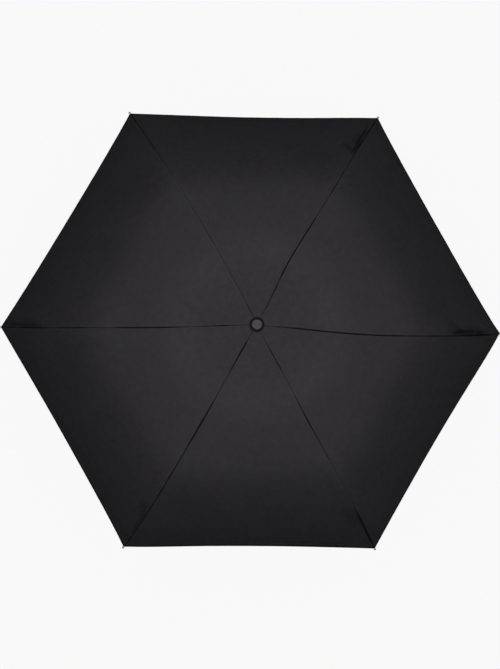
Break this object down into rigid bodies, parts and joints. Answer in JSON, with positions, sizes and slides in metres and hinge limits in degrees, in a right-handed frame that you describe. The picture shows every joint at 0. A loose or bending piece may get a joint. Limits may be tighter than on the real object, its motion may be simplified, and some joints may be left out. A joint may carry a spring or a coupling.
{
  "type": "folding umbrella",
  "caption": "Open folding umbrella with a six-panel fabric canopy on jointed ribs, a telescopic shaft and a short cylindrical handle.",
  "frame": {"origin": "centre of the cylindrical grip, on the shaft's axis", "axes": "+Z along the shaft from the handle to the canopy's top, +X along rib 1"},
  "size_m": [0.9116, 0.79, 0.5642],
  "materials": {
    "canopy_fabric": "near-black woven polyester with a soft satin sheen",
    "cap_grey": "smooth dark grey moulded cap",
    "black_plastic": "black moulded nylon, slightly rough",
    "grip_rubber": "soft-touch black coating",
    "tube_steel": "plated steel tube, drawn lengthwise",
    "rib_steel": "plated pressed steel channel",
    "spring_steel": "bright spring wire and leaf"
  },
  "bodies": {
    "handle": {"handle_grip": "grip_rubber", "handle_core": "black_plastic", "handle_collar": "grip_rubber", "handle_end_cap": "black_plastic", "lower_tube": "tube_steel"},
    "lower_catch_leaf": {"lower_tube_catch": "spring_steel"},
    "middle_tube_part": {"middle_tube": "tube_steel"},
    "middle_catch_leaf": {"middle_tube_catch": "spring_steel"},
    "crown_part": {"upper_tube": "tube_steel", "crown": "black_plastic", "crown_pins": "spring_steel", "top_ring": "black_plastic", "top_cap": "cap_grey", "closing_strap": "canopy_fabric", "canopy_panel_1": "canopy_fabric", "canopy_panel_2": "canopy_fabric", "canopy_panel_3": "canopy_fabric", "canopy_panel_4": "canopy_fabric", "canopy_panel_5": "canopy_fabric", "canopy_panel_6": "canopy_fabric"},
    "runner_catch_leaf": {"runner_catch": "spring_steel"},
    "runner_part": {"runner": "black_plastic", "runner_pins": "spring_steel"},
    "top_rib_body_1": {"top_rib_1": "rib_steel"},
    "stretcher_body_1": {"stretcher_1": "rib_steel"},
    "drive_link_body_1": {"drive_link_1": "rib_steel"},
    "middle_rib_body_1": {"middle_rib_1": "rib_steel"},
    "pull_wire_body_1": {"pull_wire_1": "spring_steel"},
    "tip_rib_body_1": {"tip_rib_1": "spring_steel"},
    "top_rib_body_2": {"top_rib_2": "rib_steel"},
    "stretcher_body_2": {"stretcher_2": "rib_steel"},
    "drive_link_body_2": {"drive_link_2": "rib_steel"},
    "middle_rib_body_2": {"middle_rib_2": "rib_steel"},
    "pull_wire_body_2": {"pull_wire_2": "spring_steel"},
    "tip_rib_body_2": {"tip_rib_2": "spring_steel"},
    "top_rib_body_3": {"top_rib_3": "rib_steel"},
    "stretcher_body_3": {"stretcher_3": "rib_steel"},
    "drive_link_body_3": {"drive_link_3": "rib_steel"},
    "middle_rib_body_3": {"middle_rib_3": "rib_steel"},
    "pull_wire_body_3": {"pull_wire_3": "spring_steel"},
    "tip_rib_body_3": {"tip_rib_3": "spring_steel"},
    "top_rib_body_4": {"top_rib_4": "rib_steel"},
    "stretcher_body_4": {"stretcher_4": "rib_steel"},
    "drive_link_body_4": {"drive_link_4": "rib_steel"},
    "middle_rib_body_4": {"middle_rib_4": "rib_steel"},
    "pull_wire_body_4": {"pull_wire_4": "spring_steel"},
    "tip_rib_body_4": {"tip_rib_4": "spring_steel"},
    "top_rib_body_5": {"top_rib_5": "rib_steel"},
    "stretcher_body_5": {"stretcher_5": "rib_steel"},
    "drive_link_body_5": {"drive_link_5": "rib_steel"},
    "middle_rib_body_5": {"middle_rib_5": "rib_steel"},
    "pull_wire_body_5": {"pull_wire_5": "spring_steel"},
    "tip_rib_body_5": {"tip_rib_5": "spring_steel"},
    "top_rib_body_6": {"top_rib_6": "rib_steel"},
    "stretcher_body_6": {"stretcher_6": "rib_steel"},
    "drive_link_body_6": {"drive_link_6": "rib_steel"},
    "middle_rib_body_6": {"middle_rib_6": "rib_steel"},
    "pull_wire_body_6": {"pull_wire_6": "spring_steel"},
    "tip_rib_body_6": {"tip_rib_6": "spring_steel"}
  },
  "joints": [
    {"name": "middle_tube_slide", "type": "slide", "parent": "handle", "child": "middle_tube_part", "axis": [0, 0, -1], "range_m": [0, 0.15]},
    {"name": "upper_tube_slide", "type": "slide", "parent": "middle_tube_part", "child": "crown_part", "axis": [0, 0, -1], "range_m": [0, 0.15]},
    {"name": "lower_catch_press", "type": "slide", "parent": "handle", "child": "lower_catch_leaf", "axis": [-0.866, -0.5, 0], "range_m": [0, 0.0016], "stiffness_N_per_m": 300, "deforming": ["lower_tube_catch"]},
    {"name": "middle_catch_press", "type": "slide", "parent": "middle_tube_part", "child": "middle_catch_leaf", "axis": [-0.866, -0.5, 0], "range_m": [0, 0.0016], "stiffness_N_per_m": 300, "deforming": ["middle_tube_catch"]},
    {"name": "runner_catch_press", "type": "slide", "parent": "crown_part", "child": "runner_catch_leaf", "axis": [-0.866, -0.5, 0], "range_m": [0, 0.0016], "stiffness_N_per_m": 300, "deforming": ["runner_catch"]},
    {"name": "canopy_fold", "type": "hinge", "parent": "crown_part", "child": "top_rib_body_1", "pos_m": [0.01, 0, 0.519], "axis": [0, 1, 0], "range_deg": [0, 75], "deforming": ["canopy_panel_1", "canopy_panel_2", "canopy_panel_3", "canopy_panel_4", "canopy_panel_5", "canopy_panel_6", "closing_strap"]},
    {"name": "stretcher_hinge_1", "type": "hinge", "parent": "top_rib_body_1", "child": "stretcher_body_1", "pos_m": [0.08956, 0, 0.49916], "axis": [0, 1, 0], "range_deg": [-150, 0]},
    {"name": "elbow_hinge_1", "type": "hinge", "parent": "top_rib_body_1", "child": "middle_rib_body_1", "pos_m": [0.15998, 0, 0.48398], "axis": [0, 1, 0], "range_deg": [-189, 0]},
    {"name": "outer_hinge_1", "type": "hinge", "parent": "middle_rib_body_1", "child": "tip_rib_body_1", "pos_m": [0.30278, 0, 0.41624], "axis": [0, 1, 0], "range_deg": [0, 166.5]},
    {"name": "drive_link_hinge_1", "type": "hinge", "parent": "stretcher_body_1", "child": "drive_link_body_1", "pos_m": [0.07792, 0, 0.49626], "axis": [0, 1, 0], "range_deg": [0, 151.15]},
    {"name": "pull_wire_hinge_1", "type": "hinge", "parent": "top_rib_body_1", "child": "pull_wire_body_1", "pos_m": [0.16394, 0, 0.48016], "axis": [0, 1, 0], "range_deg": [-189.37, 0]},
    {"name": "runner_hinge", "type": "hinge", "parent": "stretcher_body_1", "child": "runner_part", "pos_m": [0.01, 0, 0.47932], "axis": [0, 1, 0], "range_deg": [0, 75]},
    {"name": "top_rib_hinge_2", "type": "hinge", "parent": "crown_part", "child": "top_rib_body_2", "pos_m": [0.005, 0.00866, 0.519], "axis": [-0.866, 0.5, 0], "range_deg": [0, 75]},
    {"name": "stretcher_hinge_2", "type": "hinge", "parent": "top_rib_body_2", "child": "stretcher_body_2", "pos_m": [0.04478, 0.07756, 0.49916], "axis": [-0.866, 0.5, 0], "range_deg": [-150, 0]},
    {"name": "elbow_hinge_2", "type": "hinge", "parent": "top_rib_body_2", "child": "middle_rib_body_2", "pos_m": [0.07999, 0.13855, 0.48398], "axis": [-0.866, 0.5, 0], "range_deg": [-189, 0]},
    {"name": "outer_hinge_2", "type": "hinge", "parent": "middle_rib_body_2", "child": "tip_rib_body_2", "pos_m": [0.15139, 0.26221, 0.41624], "axis": [-0.866, 0.5, 0], "range_deg": [0, 166.5]},
    {"name": "drive_link_hinge_2", "type": "hinge", "parent": "stretcher_body_2", "child": "drive_link_body_2", "pos_m": [0.03896, 0.06748, 0.49626], "axis": [-0.866, 0.5, 0], "range_deg": [0, 151.15]},
    {"name": "pull_wire_hinge_2", "type": "hinge", "parent": "top_rib_body_2", "child": "pull_wire_body_2", "pos_m": [0.08197, 0.14197, 0.48016], "axis": [-0.866, 0.5, 0], "range_deg": [-189.37, 0]},
    {"name": "top_rib_hinge_3", "type": "hinge", "parent": "crown_part", "child": "top_rib_body_3", "pos_m": [-0.005, 0.00866, 0.519], "axis": [-0.866, -0.5, 0], "range_deg": [0, 75]},
    {"name": "stretcher_hinge_3", "type": "hinge", "parent": "top_rib_body_3", "child": "stretcher_body_3", "pos_m": [-0.04478, 0.07756, 0.49916], "axis": [-0.866, -0.5, 0], "range_deg": [-150, 0]},
    {"name": "elbow_hinge_3", "type": "hinge", "parent": "top_rib_body_3", "child": "middle_rib_body_3", "pos_m": [-0.07999, 0.13855, 0.48398], "axis": [-0.866, -0.5, 0], "range_deg": [-189, 0]},
    {"name": "outer_hinge_3", "type": "hinge", "parent": "middle_rib_body_3", "child": "tip_rib_body_3", "pos_m": [-0.15139, 0.26221, 0.41624], "axis": [-0.866, -0.5, 0], "range_deg": [0, 166.5]},
    {"name": "drive_link_hinge_3", "type": "hinge", "parent": "stretcher_body_3", "child": "drive_link_body_3", "pos_m": [-0.03896, 0.06748, 0.49626], "axis": [-0.866, -0.5, 0], "range_deg": [0, 151.15]},
    {"name": "pull_wire_hinge_3", "type": "hinge", "parent": "top_rib_body_3", "child": "pull_wire_body_3", "pos_m": [-0.08197, 0.14197, 0.48016], "axis": [-0.866, -0.5, 0], "range_deg": [-189.37, 0]},
    {"name": "top_rib_hinge_4", "type": "hinge", "parent": "crown_part", "child": "top_rib_body_4", "pos_m": [-0.01, 0, 0.519], "axis": [0, -1, 0], "range_deg": [0, 75]},
    {"name": "stretcher_hinge_4", "type": "hinge", "parent": "top_rib_body_4", "child": "stretcher_body_4", "pos_m": [-0.08956, 0, 0.49916], "axis": [0, -1, 0], "range_deg": [-150, 0]},
    {"name": "elbow_hinge_4", "type": "hinge", "parent": "top_rib_body_4", "child": "middle_rib_body_4", "pos_m": [-0.15998, 0, 0.48398], "axis": [0, -1, 0], "range_deg": [-189, 0]},
    {"name": "outer_hinge_4", "type": "hinge", "parent": "middle_rib_body_4", "child": "tip_rib_body_4", "pos_m": [-0.30278, 0, 0.41624], "axis": [0, -1, 0], "range_deg": [0, 166.5]},
    {"name": "drive_link_hinge_4", "type": "hinge", "parent": "stretcher_body_4", "child": "drive_link_body_4", "pos_m": [-0.07792, 0, 0.49626], "axis": [0, -1, 0], "range_deg": [0, 151.15]},
    {"name": "pull_wire_hinge_4", "type": "hinge", "parent": "top_rib_body_4", "child": "pull_wire_body_4", "pos_m": [-0.16394, 0, 0.48016], "axis": [0, -1, 0], "range_deg": [-189.37, 0]},
    {"name": "top_rib_hinge_5", "type": "hinge", "parent": "crown_part", "child": "top_rib_body_5", "pos_m": [-0.005, -0.00866, 0.519], "axis": [0.866, -0.5, 0], "range_deg": [0, 75]},
    {"name": "stretcher_hinge_5", "type": "hinge", "parent": "top_rib_body_5", "child": "stretcher_body_5", "pos_m": [-0.04478, -0.07756, 0.49916], "axis": [0.866, -0.5, 0], "range_deg": [-150, 0]},
    {"name": "elbow_hinge_5", "type": "hinge", "parent": "top_rib_body_5", "child": "middle_rib_body_5", "pos_m": [-0.07999, -0.13855, 0.48398], "axis": [0.866, -0.5, 0], "range_deg": [-189, 0]},
    {"name": "outer_hinge_5", "type": "hinge", "parent": "middle_rib_body_5", "child": "tip_rib_body_5", "pos_m": [-0.15139, -0.26221, 0.41624], "axis": [0.866, -0.5, 0], "range_deg": [0, 166.5]},
    {"name": "drive_link_hinge_5", "type": "hinge", "parent": "stretcher_body_5", "child": "drive_link_body_5", "pos_m": [-0.03896, -0.06748, 0.49626], "axis": [0.866, -0.5, 0], "range_deg": [0, 151.15]},
    {"name": "pull_wire_hinge_5", "type": "hinge", "parent": "top_rib_body_5", "child": "pull_wire_body_5", "pos_m": [-0.08197, -0.14197, 0.48016], "axis": [0.866, -0.5, 0], "range_deg": [-189.37, 0]},
    {"name": "top_rib_hinge_6", "type": "hinge", "parent": "crown_part", "child": "top_rib_body_6", "pos_m": [0.005, -0.00866, 0.519], "axis": [0.866, 0.5, 0], "range_deg": [0, 75]},
    {"name": "stretcher_hinge_6", "type": "hinge", "parent": "top_rib_body_6", "child": "stretcher_body_6", "pos_m": [0.04478, -0.07756, 0.49916], "axis": [0.866, 0.5, 0], "range_deg": [-150, 0]},
    {"name": "elbow_hinge_6", "type": "hinge", "parent": "top_rib_body_6", "child": "middle_rib_body_6", "pos_m": [0.07999, -0.13855, 0.48398], "axis": [0.866, 0.5, 0], "range_deg": [-189, 0]},
    {"name": "outer_hinge_6", "type": "hinge", "parent": "middle_rib_body_6", "child": "tip_rib_body_6", "pos_m": [0.15139, -0.26221, 0.41624], "axis": [0.866, 0.5, 0], "range_deg": [0, 166.5]},
    {"name": "drive_link_hinge_6", "type": "hinge", "parent": "stretcher_body_6", "child": "drive_link_body_6", "pos_m": [0.03896, -0.06748, 0.49626], "axis": [0.866, 0.5, 0], "range_deg": [0, 151.15]},
    {"name": "pull_wire_hinge_6", "type": "hinge", "parent": "top_rib_body_6", "child": "pull_wire_body_6", "pos_m": [0.08197, -0.14197, 0.48016], "axis": [0.866, 0.5, 0], "range_deg": [-189.37, 0]}
  ],
  "couplings": [
    {"joint": "stretcher_hinge_1", "follows": "canopy_fold", "ratio": -2},
    {"joint": "elbow_hinge_1", "follows": "canopy_fold", "ratio": -2.52},
    {"joint": "outer_hinge_1", "follows": "canopy_fold", "ratio": 2.22},
    {"joint": "drive_link_hinge_1", "follows": "canopy_fold", "ratio": 2.0153},
    {"joint": "pull_wire_hinge_1", "follows": "canopy_fold", "ratio": -2.525},
    {"joint": "runner_hinge", "follows": "canopy_fold", "ratio": 1},
    {"joint": "top_rib_hinge_2", "follows": "canopy_fold", "ratio": 1},
    {"joint": "stretcher_hinge_2", "follows": "canopy_fold", "ratio": -2},
    {"joint": "elbow_hinge_2", "follows": "canopy_fold", "ratio": -2.52},
    {"joint": "outer_hinge_2", "follows": "canopy_fold", "ratio": 2.22},
    {"joint": "drive_link_hinge_2", "follows": "canopy_fold", "ratio": 2.0153},
    {"joint": "pull_wire_hinge_2", "follows": "canopy_fold", "ratio": -2.525},
    {"joint": "top_rib_hinge_3", "follows": "canopy_fold", "ratio": 1},
    {"joint": "stretcher_hinge_3", "follows": "canopy_fold", "ratio": -2},
    {"joint": "elbow_hinge_3", "follows": "canopy_fold", "ratio": -2.52},
    {"joint": "outer_hinge_3", "follows": "canopy_fold", "ratio": 2.22},
    {"joint": "drive_link_hinge_3", "follows": "canopy_fold", "ratio": 2.0153},
    {"joint": "pull_wire_hinge_3", "follows": "canopy_fold", "ratio": -2.525},
    {"joint": "top_rib_hinge_4", "follows": "canopy_fold", "ratio": 1},
    {"joint": "stretcher_hinge_4", "follows": "canopy_fold", "ratio": -2},
    {"joint": "elbow_hinge_4", "follows": "canopy_fold", "ratio": -2.52},
    {"joint": "outer_hinge_4", "follows": "canopy_fold", "ratio": 2.22},
    {"joint": "drive_link_hinge_4", "follows": "canopy_fold", "ratio": 2.0153},
    {"joint": "pull_wire_hinge_4", "follows": "canopy_fold", "ratio": -2.525},
    {"joint": "top_rib_hinge_5", "follows": "canopy_fold", "ratio": 1},
    {"joint": "stretcher_hinge_5", "follows": "canopy_fold", "ratio": -2},
    {"joint": "elbow_hinge_5", "follows": "canopy_fold", "ratio": -2.52},
    {"joint": "outer_hinge_5", "follows": "canopy_fold", "ratio": 2.22},
    {"joint": "drive_link_hinge_5", "follows": "canopy_fold", "ratio": 2.0153},
    {"joint": "pull_wire_hinge_5", "follows": "canopy_fold", "ratio": -2.525},
    {"joint": "top_rib_hinge_6", "follows": "canopy_fold", "ratio": 1},
    {"joint": "stretcher_hinge_6", "follows": "canopy_fold", "ratio": -2},
    {"joint": "elbow_hinge_6", "follows": "canopy_fold", "ratio": -2.52},
    {"joint": "outer_hinge_6", "follows": "canopy_fold", "ratio": 2.22},
    {"joint": "drive_link_hinge_6", "follows": "canopy_fold", "ratio": 2.0153},
    {"joint": "pull_wire_hinge_6", "follows": "canopy_fold", "ratio": -2.525}
  ]
}
